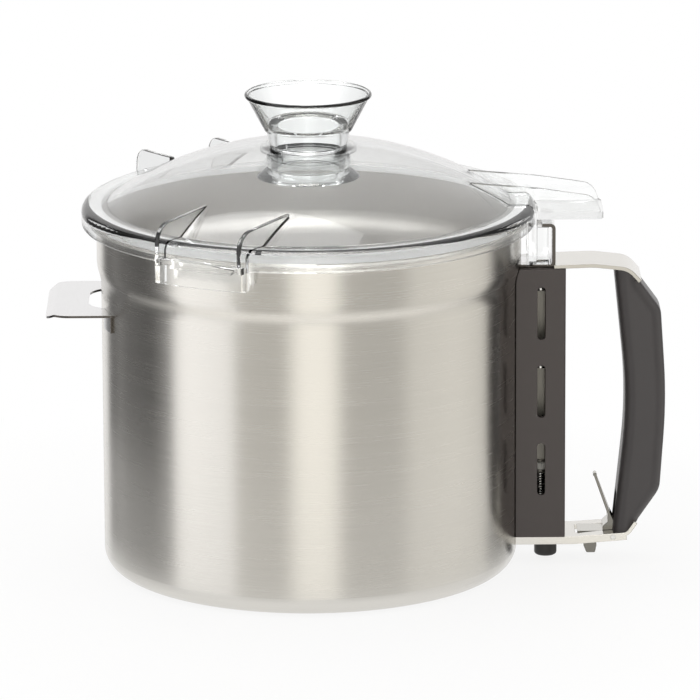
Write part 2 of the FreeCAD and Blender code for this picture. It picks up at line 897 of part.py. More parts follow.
def make_latch_pawl():
    """Hardened nose under the trigger's leg that catches the base."""
    top = pivot_level()
    low = top - pawl_drop
    far = pivot_x - trigger_leg + pawl_length / 2
    near = far + pawl_length
    taper = (pawl_length - pawl_nose) / 2
    shape = rounded(in_xz, [(far, top, 0), (far, low + pawl_nose, 0), (far + taper, low, taper / 2),
                            (near - taper / 2, low, taper / 2), (near, low + pawl_nose, 0), (near, top, 0)])
    return pressed(shape, 0, pawl_width)


def make_trigger_spring():
    """Torsion spring round the pivot, with a leg to the trigger and a leg to the grip."""
    z = pivot_level()
    quarters = 4 * trigger_spring_turns + 2
    rise = trigger_spring_pitch / 4
    climb = rise / (trigger_spring_radius * math.pi / 2)
    start_y = -quarters * rise / 2

    def point(i):
        angle = i * math.pi / 2
        place = vec(pivot_x - trigger_spring_radius * math.cos(angle), start_y + i * rise,
                    z - trigger_spring_radius * math.sin(angle))
        return place, vec(math.sin(angle), climb, -math.cos(angle)).normalize()

    first, out = point(0)
    last, into = point(quarters)
    edges = [Part.LineSegment(first - out * trigger_spring_leg, first).toShape()]
    edges.extend(coil(point, quarters))
    edges.append(Part.LineSegment(last, last + into * trigger_spring_leg).toShape())
    print_least_gap("trigger_spring", edges, trigger_spring_wire)
    return wire_tube(edges, first - out * trigger_spring_leg, out, trigger_spring_wire)


def grip_core_path():
    """Corners along the steel core of the grip."""
    top = top_strap_path()[2]
    low = bottom_strap_path()[2]
    middle = (grip_inner + grip_arch + 0.5 * grip_depth, (top[1] + low[1]) / 2)
    return [(top[0] + strap_sheet, top[1]), middle, (low[0] + strap_sheet, low[1])]


def core_solid(gap):
    path = grip_core_path()
    return pressed(bent_strip(path, [grip_arch_radius], core_sheet + 2 * gap), 0, core_width + 2 * gap)


def make_grip_core():
    """Steel bar inside the grip that joins the two straps."""
    core = core_solid(0).cut(joined(make_handle_top_strap(), make_handle_bottom_strap()))
    return max(core.Solids, key=lambda solid: solid.Volume)


def make_handle_grip():
    """Moulded grip between the straps, with a pocket for the trigger and a bore for the core."""
    gap = strap_sheet / 2 + weld_gap
    top = shifted(top_strap_path(), -gap)
    low = shifted(bottom_strap_path(), gap)
    top_inner = height_on(top[1], top[2], grip_inner)
    low_inner = height_on(low[1], low[2], grip_inner)
    middle = (top_inner + low_inner) / 2
    high = top_inner + grip_shoulder
    deep = low_inner - grip_heel
    back = grip_outer + grip_arch
    high_x = grip_inner - grip_arch * (high - top_inner) / (top_inner - middle)
    deep_x = grip_inner - grip_arch * (low_inner - deep) / (middle - low_inner)
    shoulder_x = back - grip_crown - grip_chamfer_run
    strap_end, heel = grip_heel_ends(gap)
    line = rounded(in_xz, [
        (high_x, high, 0), (shoulder_x, high, 0), (shoulder_x, top[3][1], grip_edge),
        (back - grip_crown, top_inner - grip_shoulder, grip_shoulder_round),
        (back, middle, grip_crown_radius),
        (back - grip_crown, low_inner + grip_heel, grip_heel_round), (*heel, grip_edge),
        (heel[0], deep, 0), (deep_x, deep, 0), (grip_inner + grip_arch, middle, grip_arch_radius)])
    grip = pressed(line, 0, grip_width)
    sides = []
    for edge in grip.Edges:
        centre = edge.BoundBox.Center
        if abs(abs(centre.y) - grip_width / 2) < 1e-6 and deep + 1e-6 < centre.z < high - 1e-6:
            sides.append(edge)
    softest = min(grip_width / 2, grip_shoulder_round) - free_gap
    grip = grip.makeFillet(min(grip_edge, softest), sides)
    over = rounded(in_xz, [(*top[1], 0), (*top[2], top_strap_bend - gap), (*top[3], 0),
                           (back, top[3][1], 0), (back, high, 0), (top[1][0], high, 0)])
    below = rounded(in_xz, [(*low[1], 0), (*low[2], bottom_strap_bend - gap), (*strap_end, 0), (*heel, 0),
                            (back, heel[1], 0), (back, deep, 0), (low[1][0], deep, 0)])
    for trim in (over, below):
        grip = grip.cut(pressed(trim, 0, 2 * grip_width))
    return grip.cut(joined(core_solid(weld_gap), trigger_pocket()))


def grip_heel_ends(gap):
    """Upper and lower corner of the bottom strap's end, with the gap round it."""
    path = bottom_strap_path()
    run = unit(path[3][0] - path[2][0], path[3][1] - path[2][1])
    path[3] = (path[3][0] + run[0] * weld_gap, path[3][1] + run[1] * weld_gap)
    return shifted(path, gap)[3], shifted(path, -gap)[3]


def trigger_pocket():
    """Hollow in the grip's heel that the squeezed trigger swings into."""
    half = trigger_width / 2 + window_gap
    swing = trigger_spring_leg * math.sin(math.radians(trigger_swing))
    far = pivot_x + trigger_spring_radius + trigger_spring_wire + swing + window_gap
    return block(pivot_x - trigger_leg, far, -half, half, 0,
                 pivot_level() + pocket_height)


def cavity():
    """Space under the lid: the dome's inside, the brim's underside and the bead's inside."""
    inner_crown = dome_centre + dome_radius - lid_wall
    inset = dome_radius - lid_wall
    edge_r = math.sqrt(inset ** 2 - (brim_under - dome_centre) ** 2)
    angle = math.asin(edge_r / inset) / 2
    via = (inset * math.sin(angle), dome_centre + inset * math.cos(angle))
    return turned(outline(in_xz, (0, 0), (bead_inner, 0), (bead_inner, brim_under), (edge_r, brim_under),
                          (via, (0, inner_crown))))


def make_lid_dome():
    """One moulding: dome, brim, bead, bayonet lugs with fins, and the wing over the handle."""
    angle = math.asin(dome_base / dome_radius) / 2
    via = (dome_radius * math.sin(angle), dome_centre + dome_radius * math.cos(angle))
    foot = corner_steps((0, bead_bottom), (bead_end, bead_bottom), (bead_end, brim_top), bead_foot_round)
    top = corner_steps((bead_end, bead_bottom), (bead_end, brim_top), (dome_base, brim_top), bead_top_round)
    lid = turned(outline(in_xz, (0, bead_bottom), *foot, *top, (dome_base, brim_top),
                         (via, (0, dome_centre + dome_radius))))
    lid = joined(lid, lug_body(front_lug_azimuth), lug_body(back_lug_azimuth), wing_body(), key_body())
    lid = lid.cut(cavity())
    for azimuth in (front_lug_azimuth, back_lug_azimuth):
        lid = lid.cut(lug_pocket(azimuth))
        lid = joined(lid, lug_tooth(azimuth))
    return lid.cut(post(0, 0, brim_top, dome_centre + dome_radius, spigot_radius() + running))


def spigot_radius():
    return throat_radius + spigot_wall


def lug_body(azimuth):
    """Skirt box and its two raked fins."""
    half = half_angle(lug_span, lug_outer)
    body = sector(bead_inner - bead_wall, lug_outer, lug_bottom, bead_bottom + lid_wall, 0, half)
    for side in (1, -1):
        body = joined(body, lug_fin(side * fin_spacing / 2))
    body.rotate(vec(0, 0, 0), vec(0, 0, 1), azimuth)
    return body


def lug_fin(offset):
    """Upright fin from the dome out over the bead, raked about its outer end."""
    tip = lug_outer - fin_run
    line = rounded(in_xz, [
        (tip, brim_under, 0), (tip, fin_level, 0), (lug_outer, fin_level - fin_fall, fin_round),
        (lug_outer, bead_bottom, 0), (bead_inner, bead_bottom, 0), (bead_inner, brim_under, 0)])
    fin = softened(pressed(line, offset, fin_wall), offset, fin_wall, bead_bottom, fin_edge)
    fin.rotate(vec(lug_outer, offset, 0), vec(0, 0, 1), -fin_rake)
    return fin


def lug_pocket(azimuth):
    """Hollow of the skirt box, open below and towards the bowl."""
    outer = lug_outer - lid_wall
    half = half_angle(lug_span - 2 * lid_wall, lug_outer)
    return sector(bead_inner - lid_clearance, outer, lug_bottom - lid_clearance, bead_bottom, azimuth, half)


def lug_tooth(azimuth):
    """Ramped tooth that draws the lid down under the bowl's rim."""
    high = bowl_height - bowl_sheet - seat_gap
    low = high - tooth_height
    half = half_angle(tooth_span, bead_inner)
    tooth = sector(bead_inner - tooth_reach, lug_outer - lid_wall / 2, low, high, 0, half)
    run = tooth_span / 2
    ramp = Part.Face(outline(in_yz, (0, high), (run, high - tooth_height / 2), (run + lug_depth, high),
                             (run + lug_depth, high + lid_wall), (0, high + lid_wall)))
    ramp = ramp.extrude(vec(lug_outer + lid_wall, 0, 0))
    tooth = tooth.cut(ramp)
    tooth.rotate(vec(0, 0, 0), vec(0, 0, 1), azimuth)
    return tooth


def wing_body():
    """Plate over the handle between two upright ribs that run up onto the dome."""
    end = bead_end + wing_reach
    top = brim_top - wing_drop + wing_plate
    half = wing_width / 2
    plan = rounded(in_xy, [(0, -half, 0), (end, -half, wing_corner), (end, half, wing_corner), (0, half, 0)])
    plate = Part.Face(plan).extrude(vec(0, 0, wing_plate))
    plate.translate(vec(0, 0, top - wing_plate))
    tip = dome_base - wing_rib_run
    rib_line = rounded(in_xz, [
        (tip, top - wing_plate, 0), (tip, dome_height(tip), 0), (bead_end, brim_top + wing_rib_root, 0),
        (end - wing_round / 2, brim_top + wing_rib_tip, wing_round), (end, top - wing_plate, 0)])
    body = plate.common(block(bead_inner - bead_wall, end, -half, half, 0, top))
    for side in (1, -1):
        middle = side * (half - wing_step - wing_rib / 2)
        rib = softened(pressed(rib_line, middle, wing_rib), middle, wing_rib, top - wing_plate, wing_edge)
        body = joined(body, rib.common(Part.Face(plan).extrude(vec(0, 0, brim_top + dome_rise))))
    return body


def key_body():
    """Lug under the wing: a wall and a foot that slides under the hook and presses the rod."""
    top = brim_top - wing_drop
    wall_outer = bead_inner + key_wall
    hook_under = hook_base + hook_height
    body = sector(bead_inner, wall_outer, key_bottom, top + wing_plate / 2, 0,
                  half_angle(wing_width, wall_outer))
    foot = sector(bead_inner, wall_outer + key_depth, key_bottom, hook_under - free_gap, 0,
                  half_angle(key_width, wall_outer))
    body = joined(body, foot)
    slope = (rod_travel + key_ramp_margin) / (rod_x * math.radians(unlock_angle))
    run = rod_radius + wing_width
    ramp = Part.Face(outline(in_yz, (rod_radius, key_bottom), (rod_radius - run, key_bottom + slope * run),
                             (rod_radius - run, key_bottom - lid_wall), (rod_radius, key_bottom - lid_wall)))
    return body.cut(ramp.extrude(vec(wall_outer + 2 * key_depth, 0, 0)))


def make_lid_gasket():
    """Sealing ring between the lid's brim and the bowl's rim."""
    inner = rim_radius - gasket_width
    low = bowl_height + seat_gap
    middle = (low + brim_under) / 2
    outer_side = ((rim_radius - gasket_bow, middle), (rim_radius, brim_under))
    inner_side = ((inner + gasket_bow, middle), (inner, low))
    return turned(outline(in_xz, (inner, low), (rim_radius, low), outer_side,
                          (inner, brim_under), inner_side))


def seal_bottom():
    return dome_height(washer_radius, lid_wall) - washer_height


def make_funnel_seal():
    """Washer under the dome, shaped to it, that the collar presses up."""
    washer = ring(spigot_radius() + running, washer_radius, seal_bottom(), dome_height(0))
    return washer.common(Part.makeSphere(dome_radius - lid_wall - weld_gap, vec(0, 0, dome_centre)))


def make_lid_funnel():
    """Funnel knob: a flared cup on a waist, with a spigot down through the dome."""
    low = dome_height(spigot_radius()) + weld_gap
    step = low + funnel_step_height
    top = low + funnel_height
    spigot_low = collar_bottom()
    cup_floor = step + funnel_step_band
    bead = funnel_wall / 2
    cup_radius = funnel_step_radius - bead
    return turned(outline(
        in_xz, (throat_radius, spigot_low), (spigot_radius(), spigot_low), (spigot_radius(), low),
        (funnel_waist, low), (funnel_step_radius - bead, step), (funnel_step_radius, step),
        (funnel_rim - bead, top - 2 * bead),
        ((funnel_rim, top - bead), (funnel_rim - bead, top)), (funnel_rim - funnel_wall, top - bead),
        (cup_radius, cup_floor), (throat_radius, cup_floor - bead)))


def collar_bottom():
    return dome_height(collar_radius, lid_wall) - collar_length


def make_funnel_collar():
    """Collar that screws onto the spigot under the dome, with a flared skirt."""
    low = collar_bottom()
    skirt = low - collar_flare_height
    inner = spigot_radius() + running
    wall = collar_radius - inner
    tube = ring(inner, collar_radius, low, seal_bottom() - weld_gap)
    flare = turned(outline(in_xz, (inner, low), (collar_radius, low), (collar_flare, skirt),
                           (collar_flare - wall / 2, skirt), (inner, low - wall / 2)))
    return joined(tube, flare)


def blade_level(index):
    """Underside of each blade: the lower one on the hub's flange, the upper one on the spacer."""
    return hub_lift + hub_flange_height + index * (blade_sheet + spacer_height)


def make_blade_hub():
    """Hub that drops over the drive column, with a keyed socket for the motor shaft."""
    bore = column_radius + seat_gap
    shoulder = column_height + seat_gap
    top = shoulder + hub_top
    flange_top = hub_lift + hub_flange_height
    sink = hub_crown_round * (1 - math.sqrt(0.5))
    crown = ((hub_crown - sink, top - sink), (hub_crown - hub_crown_round, top))
    hub = turned(outline(in_xz, (bore, hub_lift), (hub_flange, hub_lift), (hub_flange, flange_top),
                         (hub_radius, flange_top), (hub_radius, shoulder),
                         (hub_crown, top - hub_crown_round), crown,
                         (0, top), (0, shoulder + socket_depth), (socket_radius, shoulder + socket_depth),
                         (socket_radius, shoulder), (bore, shoulder)))
    keyway = block(0, socket_radius + keyway_depth, -keyway_width / 2, keyway_width / 2,
                   shoulder, shoulder + socket_depth)
    return hub.cut(keyway)


def make_blade(index):
    """Two swept arms on a ring that is clamped on the hub."""
    low = blade_level(index)
    eye = post(0, 0, low, low + blade_sheet, hub_flange)
    half_sweep = blade_sweep / 2
    mid = blade_radius / 2
    tip = (blade_radius, half_sweep)
    arm_line = outline(in_xy, (0, -blade_root), ((mid, -blade_root - half_sweep / 2), tip),
                       ((mid, blade_root - half_sweep / 2), (0, blade_root)))
    arms = []
    for turn in (0, 180):
        arm = Part.Face(arm_line).extrude(vec(0, 0, blade_sheet))
        arm.translate(vec(0, 0, low))
        arm.rotate(vec(0, 0, 0), vec(0, 0, 1), turn + 90 * index)
        arms.append(arm)
    return joined(eye, *arms).cut(post(0, 0, low, low + blade_sheet, hub_radius + running))


def make_blade_spacer():
    low = blade_level(0) + blade_sheet
    return ring(hub_radius + running, hub_flange, low, low + spacer_height)


def make_blade_nut():
    """Round nut that clamps the blades on the hub."""
    low = blade_level(1) + blade_sheet
    nut = ring(hub_radius + running, nut_radius, low, low + nut_height)
    edges = [edge for edge in nut.Edges if edge.BoundBox.XLength > 2 * nut_radius - 1e-3
             and edge.BoundBox.ZMin > low + nut_height - 1e-6]
    return nut.makeChamfer(nut_chamfer, edges)


pieces = {
    "bowl_shell": make_bowl_shell,
    "drive_column": make_drive_column,
    "side_ear": make_side_ear,
    "hook_bracket": make_hook_bracket,
    "handle_top_strap": make_handle_top_strap,
    "handle_bottom_strap": make_handle_bottom_strap,
    "interlock_housing": make_interlock_housing,
    "housing_screws": make_housing_screws,
    "upper_guide_bush": make_upper_guide_bush,
    "lower_guide_bush": make_lower_guide_bush,
    "interlock_rod": make_interlock_rod,
    "rod_clips": make_rod_clips,
    "rod_spring_seat": make_rod_spring_seat,
    "rod_foot": make_rod_foot,
    "foot_magnet": make_foot_magnet,
    "rod_spring": make_rod_spring,
    "trigger_pivot_pin": make_trigger_pivot_pin,
    "trigger_lever": make_trigger_lever,
    "latch_pawl": make_latch_pawl,
    "trigger_spring": make_trigger_spring,
    "grip_core": make_grip_core,
    "handle_grip": make_handle_grip,
    "lid_dome": make_lid_dome,
    "lid_gasket": make_lid_gasket,
    "funnel_seal": make_funnel_seal,
    "lid_funnel": make_lid_funnel,
    "funnel_collar": make_funnel_collar,
    "blade_hub": make_blade_hub,
    "lower_blade": lambda: make_blade(0),
    "upper_blade": lambda: make_blade(1),
    "blade_spacer": make_blade_spacer,
    "blade_nut": make_blade_nut,
}

os.makedirs("parts", exist_ok=True)
for name, make in pieces.items():
    make().exportStep("parts/" + name + ".step")
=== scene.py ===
"""Looks for a tabletop cutter bowl: spun steel bowl, clear bayonet lid, dark handle and lid interlock."""
import bmesh
import bpy
import math
from mathutils import Euler, Matrix, Vector


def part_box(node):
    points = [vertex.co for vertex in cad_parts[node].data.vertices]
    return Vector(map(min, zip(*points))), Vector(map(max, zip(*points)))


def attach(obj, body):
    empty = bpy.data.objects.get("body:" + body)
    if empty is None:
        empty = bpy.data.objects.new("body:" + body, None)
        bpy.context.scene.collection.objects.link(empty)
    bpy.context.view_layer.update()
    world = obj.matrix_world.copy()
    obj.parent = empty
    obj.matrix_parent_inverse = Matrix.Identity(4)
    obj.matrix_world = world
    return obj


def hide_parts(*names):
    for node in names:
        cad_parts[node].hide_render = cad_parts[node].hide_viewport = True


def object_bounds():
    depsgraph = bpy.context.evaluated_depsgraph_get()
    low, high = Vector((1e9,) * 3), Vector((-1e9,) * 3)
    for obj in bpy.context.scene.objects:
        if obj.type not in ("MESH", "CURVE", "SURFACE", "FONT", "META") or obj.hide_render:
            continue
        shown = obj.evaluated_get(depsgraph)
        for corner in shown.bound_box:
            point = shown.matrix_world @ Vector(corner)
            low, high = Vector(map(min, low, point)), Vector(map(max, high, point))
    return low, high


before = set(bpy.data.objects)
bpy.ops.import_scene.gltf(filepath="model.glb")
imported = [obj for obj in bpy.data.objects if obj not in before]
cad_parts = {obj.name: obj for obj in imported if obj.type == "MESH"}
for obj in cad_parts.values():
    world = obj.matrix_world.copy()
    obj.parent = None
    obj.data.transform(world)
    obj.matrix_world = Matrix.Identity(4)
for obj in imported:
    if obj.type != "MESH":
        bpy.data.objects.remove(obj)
cad_low, cad_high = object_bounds()

# Bowl shell. Stainless sheet spun into a deep bowl with a rounded foot and a stepped-out band under the rim.
# The spinning tool and a last pass of abrasive leave fine lines round it, which draw reflections out upwards.
# The inside is given a rougher finish than the outside, and its colour is darkened a little as painted shade
# inside the bowl.


def connect(tree, value, socket):
    """Feed an input from another socket, or set it to a number, a vector or a tone."""
    if isinstance(value, bpy.types.NodeSocket):
        tree.links.new(value, socket)
    elif socket.type == "RGBA":
        socket.default_value = (*value, 1.0)
    else:
        socket.default_value = value


def math_node(tree, operation, *values):
    """A Math node on sockets or numbers, by its output."""
    node = tree.nodes.new("ShaderNodeMath")
    node.operation = operation
    for value, socket in zip(values, node.inputs):
        connect(tree, value, socket)
    return node.outputs["Value"]


def vector_node(tree, operation, *vectors):
    """A Vector Math node on sockets or vectors, by the output that holds its answer."""
    node = tree.nodes.new("ShaderNodeVectorMath")
    node.operation = operation
    for value, socket in zip(vectors, node.inputs):
        connect(tree, value, socket)
    return node.outputs["Value" if operation in ("DOT_PRODUCT", "LENGTH") else "Vector"]


def scaled(tree, vector, factor):
    """A vector or colour times a number."""
    node = tree.nodes.new("ShaderNodeVectorMath")
    node.operation = "SCALE"
    connect(tree, vector, node.inputs[0])
    connect(tree, factor, node.inputs["Scale"])
    return node.outputs["Vector"]


def coordinates(tree, kind):
    """Texture coordinates of one kind."""
    return tree.nodes.new("ShaderNodeTexCoord").outputs[kind]


def noise_node(tree, counts, detail, roughness):
    """A noise on Object coordinates, with so many grains per metre along each axis, by its value."""
    node = tree.nodes.new("ShaderNodeTexNoise")
    node.inputs["Scale"].default_value = 1.0
    node.inputs["Detail"].default_value = detail
    node.inputs["Roughness"].default_value = roughness
    place = vector_node(tree, "MULTIPLY", coordinates(tree, "Object"), counts)
    tree.links.new(place, node.inputs["Vector"])
    return node.outputs["Fac"]


def effect_group(name, inputs, outputs):
    """An empty shader group with vector inputs and float outputs, and the sockets inside it."""
    group = bpy.data.node_groups.new(name, "ShaderNodeTree")
    for label in inputs:
        group.interface.new_socket(label, in_out="INPUT", socket_type="NodeSocketVector")
    for label in outputs:
        group.interface.new_socket(label, in_out="OUTPUT", socket_type="NodeSocketFloat")
    return group, group.nodes.new("NodeGroupInput").outputs, group.nodes.new("NodeGroupOutput").inputs


def noise_pair(name, rate, fine, coarse, share):
    """A shader group of a fine noise and one at a share of its rate, each as (output, detail, roughness)."""
    group, given, results = effect_group(name, [rate], [fine[0], coarse[0]])
    wide = scaled(group, given[rate], share)
    for (label, detail, roughness), counts in ((fine, given[rate]), (coarse, wide)):
        group.links.new(noise_node(group, counts, detail, roughness), results[label])
    return group


brushing = noise_pair(
    "brushed lines", "Lines per metre", fine=("Line", 3.0, 0.65), coarse=("Cloud", 2.0, 0.5), share=0.06)


def principled(material):
    """A material's Principled shader."""
    return material.node_tree.nodes["Principled BSDF"]


def shader_material(name):
    """A new material, its nodes and its Principled shader."""
    material = bpy.data.materials.new(name)
    material.use_nodes = True
    return material, material.node_tree, principled(material)


def placed_effect(tree, group):
    """An effect group placed in a material."""
    node = tree.nodes.new("ShaderNodeGroup")
    node.node_tree = group
    return node


def map_range(tree, value, low, high, to_low=0.0, to_high=1.0, smooth=True):
    """A value between two limits carried over to another range, eased at both ends if smooth."""
    node = tree.nodes.new("ShaderNodeMapRange")
    node.interpolation_type = "SMOOTHSTEP" if smooth else "LINEAR"
    limits = {"From Min": low, "From Max": high, "To Min": to_low, "To Max": to_high}
    for label, limit in limits.items():
        node.inputs[label].default_value = limit
    tree.links.new(value, node.inputs["Value"])
    return node.outputs["Result"]


def spread(tree, noise, low, high):
    """A noise, whose values keep to its middle half, spread over a range."""
    return map_range(tree, noise, low=0.25, high=0.75, to_low=low, to_high=high, smooth=False)


def mix_colours(tree, factor, first, second, blend="MIX"):
    """A colour mixed from two sockets or tones."""
    node = tree.nodes.new("ShaderNodeMix")
    node.data_type = "RGBA"
    node.blend_type = blend
    for label, value in (("Factor", factor), ("A", first), ("B", second)):
        connect(tree, value, node.inputs[label])
    return node.outputs["Result"]


def relief(tree, shader, height, depth, edge):
    """Bump from a height value, its depth in metres, and edges eased by a radius."""
    bump = tree.nodes.new("ShaderNodeBump")
    bump.inputs["Distance"].default_value = depth
    if edge:
        easing = tree.nodes.new("ShaderNodeBevel")
        easing.samples = 8
        easing.inputs["Radius"].default_value = edge
        tree.links.new(easing.outputs["Normal"], bump.inputs["Normal"])
    tree.links.new(height, bump.inputs["Height"])
    tree.links.new(bump.outputs["Normal"], shader.inputs["Normal"])


line_share = 0.7
cloud_share = 0.3


def brushed_steel(name, dark, light, lines, roughness, depth, edge=0.0):
    """Metal with brushed lines in its colour, gloss and surface."""
    material, tree, shader = shader_material(name)
    brushed = placed_effect(tree, brushing)
    brushed.inputs["Lines per metre"].default_value = lines
    line_part = math_node(tree, "MULTIPLY", brushed.outputs["Line"], line_share)
    cloud_part = math_node(tree, "MULTIPLY", brushed.outputs["Cloud"], cloud_share)
    both = math_node(tree, "ADD", line_part, cloud_part)
    shader.inputs["Metallic"].default_value = 1.0
    tree.links.new(mix_colours(tree, both, dark, light), shader.inputs["Base Color"])
    tree.links.new(spread(tree, both, *roughness), shader.inputs["Roughness"])
    relief(tree, shader, brushed.outputs["Line"], depth, edge)
    return material


def feed(socket):
    """The output that feeds an input."""
    return socket.links[0].from_socket


def dress(material, *names):
    """Give CAD nodes a finish."""
    for name in names:
        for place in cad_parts[name].material_slots:
            place.material = material


bowl_steel = brushed_steel(
    "spun bowl steel", dark=(0.62, 0.605, 0.57), light=(0.74, 0.72, 0.68), lines=(30.0, 30.0, 2600.0),
    roughness=(0.20, 0.30), depth=0.00002)
bowl_tree = bowl_steel.node_tree
bowl_shader = principled(bowl_steel)
bowl_shader.inputs["Anisotropic"].default_value = 0.75
bowl_shader.inputs["Anisotropic Rotation"].default_value = 0.25
round_axis = bowl_tree.nodes.new("ShaderNodeTangent")
round_axis.direction_type = "RADIAL"
round_axis.axis = "Z"
bowl_tree.links.new(round_axis.outputs["Tangent"], bowl_shader.inputs["Tangent"])
# The inside faces the axis. The limit is a little over zero, so that all of the flat floor counts as inside.
inner_limit = 0.01
inner_dulling = 0.14
inner_painted_shade = (0.90, 0.895, 0.90)
level_only = (1.0, 1.0, 0.0)
from_axis = vector_node(bowl_tree, "MULTIPLY", coordinates(bowl_tree, "Object"), level_only)
outward_facing = vector_node(bowl_tree, "DOT_PRODUCT", coordinates(bowl_tree, "Normal"), from_axis)
inner_face = math_node(bowl_tree, "LESS_THAN", outward_facing, inner_limit)
dulling = math_node(bowl_tree, "MULTIPLY", inner_face, inner_dulling)
bowl_gloss = bowl_shader.inputs["Roughness"]
bowl_tree.links.new(math_node(bowl_tree, "ADD", feed(bowl_gloss), dulling), bowl_gloss)
bowl_colour = bowl_shader.inputs["Base Color"]
# Painted shade: the inside's colour is multiplied by a slightly darker tone.
shaded_inside_colour = mix_colours(bowl_tree, inner_face, feed(bowl_colour), inner_painted_shade, "MULTIPLY")
bowl_tree.links.new(shaded_inside_colour, bowl_colour)
dress(bowl_steel, "bowl_shell")

# Drive column. Stainless tube welded into the floor, so that the motor shaft can come up inside the bowl.
# It is drawn tube with the same lines round it as the bowl.
dress(bowl_steel, "drive_column")

# Ear, hook bracket and handle straps. Stainless strip, blanked, bent and spot-welded to the bowl.
# The strip is brushed along its length before bending. On the top strap, hook bracket and ear, faces turned
# to the front or back are darkened as painted shade.


def parts_of(tree, vector):
    """The X, Y and Z of a vector."""
    node = tree.nodes.new("ShaderNodeSeparateXYZ")
    tree.links.new(vector, node.inputs["Vector"])
    return node.outputs


# Painted shade: a mask of faces turned to the front or back, by the Y of their normal.
edge_shading, _, edge_shade_results = effect_group("painted edge shade", [], ["Edge"])
across = math_node(edge_shading, "ABSOLUTE", parts_of(edge_shading, coordinates(edge_shading, "Normal"))["Y"])
edge_shade_mask = map_range(edge_shading, across, low=0.45, high=0.65, smooth=False)
edge_shading.links.new(edge_shade_mask, edge_shade_results["Edge"])


def paint_edge_shade(material, shade_tone):
    """Paint shade on the faces of a strip material that turn to the front or back."""
    tree = material.node_tree
    colour = principled(material).inputs["Base Color"]
    edge = placed_effect(tree, edge_shading).outputs["Edge"]
    tree.links.new(mix_colours(tree, edge, feed(colour), shade_tone), colour)


strap_finish = {
    "dark": (0.64, 0.625, 0.59), "light": (0.78, 0.765, 0.725), "lines": (60.0, 1800.0, 1800.0),
    "roughness": (0.12, 0.22), "depth": 0.00002, "edge": 0.0006}
strap_steel = brushed_steel("brushed strip steel", **strap_finish)
dress(strap_steel, "handle_bottom_strap", "grip_core")
top_steel = brushed_steel("brushed top strip steel", **strap_finish)
# Painted shade on the top strap's faces that turn to the front or back.
paint_edge_shade(top_steel, (0.46, 0.445, 0.41))
dress(top_steel, "handle_top_strap")
edge_shaded_steel = brushed_steel(
    "edge-shaded strip steel", dark=(0.70, 0.70, 0.70), light=(0.84, 0.84, 0.85), lines=(900.0, 60.0, 900.0),
    roughness=(0.12, 0.2), depth=0.00001, edge=0.0004)
# Painted shade, near black, on the hook bracket's and ear's faces that turn to the front or back.
paint_edge_shade(edge_shaded_steel, (0.09, 0.082, 0.075))
dress(edge_shaded_steel, "hook_bracket", "side_ear")

# Interlock housing and grip. Dark nylon mouldings with a fine etched texture.
# The housing is screwed between the hook bracket and the bottom strap.
# The grip is moulded over the steel core that joins the two straps.
grain = noise_pair(
    "moulded grain", "Grains per metre", fine=("Grain", 2.0, 0.55), coarse=("Haze", 3.0, 0.5), share=0.015)


def placed_grain(tree, grains):
    """The moulded grain placed in a material, with the same count per metre along each axis."""
    node = placed_effect(tree, grain)
    node.inputs["Grains per metre"].default_value = (grains,) * 3
    return node.outputs


def moulded_plastic(name, dark, light, grains, roughness, depth, edge=0.0):
    """Opaque plastic with an etched grain and a faint haze from handling."""
    material, tree, shader = shader_material(name)
    surface = placed_grain(tree, grains)
    tree.links.new(mix_colours(tree, surface["Haze"], dark, light), shader.inputs["Base Color"])
    tree.links.new(spread(tree, surface["Haze"], *roughness), shader.inputs["Roughness"])
    relief(tree, shader, surface["Grain"], depth, edge)
    return material


dark_plastic = moulded_plastic(
    "dark etched nylon", dark=(0.056, 0.046, 0.044), light=(0.070, 0.059, 0.057), grains=2400.0,
    roughness=(0.36, 0.44), depth=0.00003, edge=0.0006)
dress(dark_plastic, "interlock_housing")
grip_plastic = moulded_plastic(
    "soft grip nylon", dark=(0.046, 0.042, 0.044), light=(0.058, 0.053, 0.055), grains=3000.0,
    roughness=(0.32, 0.40), depth=0.00001)
dress(grip_plastic, "handle_grip")

# Interlock rod. Drawn rod with a milled flat, zinc plated to a dull warm grey.
# The slots in the housing show it, so that the user can see whether the lid has pushed it down.
zinc_plate = brushed_steel(
    "dull zinc plate", dark=(0.40, 0.385, 0.345), light=(0.52, 0.50, 0.455), lines=(900.0, 900.0, 60.0),
    roughness=(0.45, 0.6), depth=0.00001)
dress(zinc_plate, "interlock_rod")

# Housing screws, clips, springs, pivot pin and magnet. Bright drawn or plated metal, turned or coiled.
# Some are seen through the housing's slots, and the others hold or return the moving pieces out of sight.
bright_steel = brushed_steel(
    "bright drawn steel", dark=(0.62, 0.62, 0.61), light=(0.78, 0.78, 0.77), lines=(1500.0, 1500.0, 80.0),
    roughness=(0.14, 0.24), depth=0.00001)
dress(bright_steel, "housing_screws", "rod_clips", "rod_spring", "trigger_pivot_pin", "trigger_spring",
      "foot_magnet")

# Guide bushes and spring seat. Pale acetal, turned to size.
# The bushes are pressed into the housing's ends, and the seat onto the rod.
bush_plastic = moulded_plastic(
    "pale acetal", dark=(0.78, 0.77, 0.72), light=(0.86, 0.85, 0.80), grains=900.0,
    roughness=(0.34, 0.44), depth=0.00001)
dress(bush_plastic, "upper_guide_bush", "lower_guide_bush", "rod_spring_seat")

# Rod foot. Black nylon moulding with a rounded edge.
# It is pushed onto the rod's end, with the magnet beside it.
foot_plastic = moulded_plastic(
    "black foot nylon", dark=(0.012, 0.012, 0.012), light=(0.020, 0.019, 0.019), grains=1500.0,
    roughness=(0.36, 0.46), depth=0.00001)
dress(foot_plastic, "rod_foot")

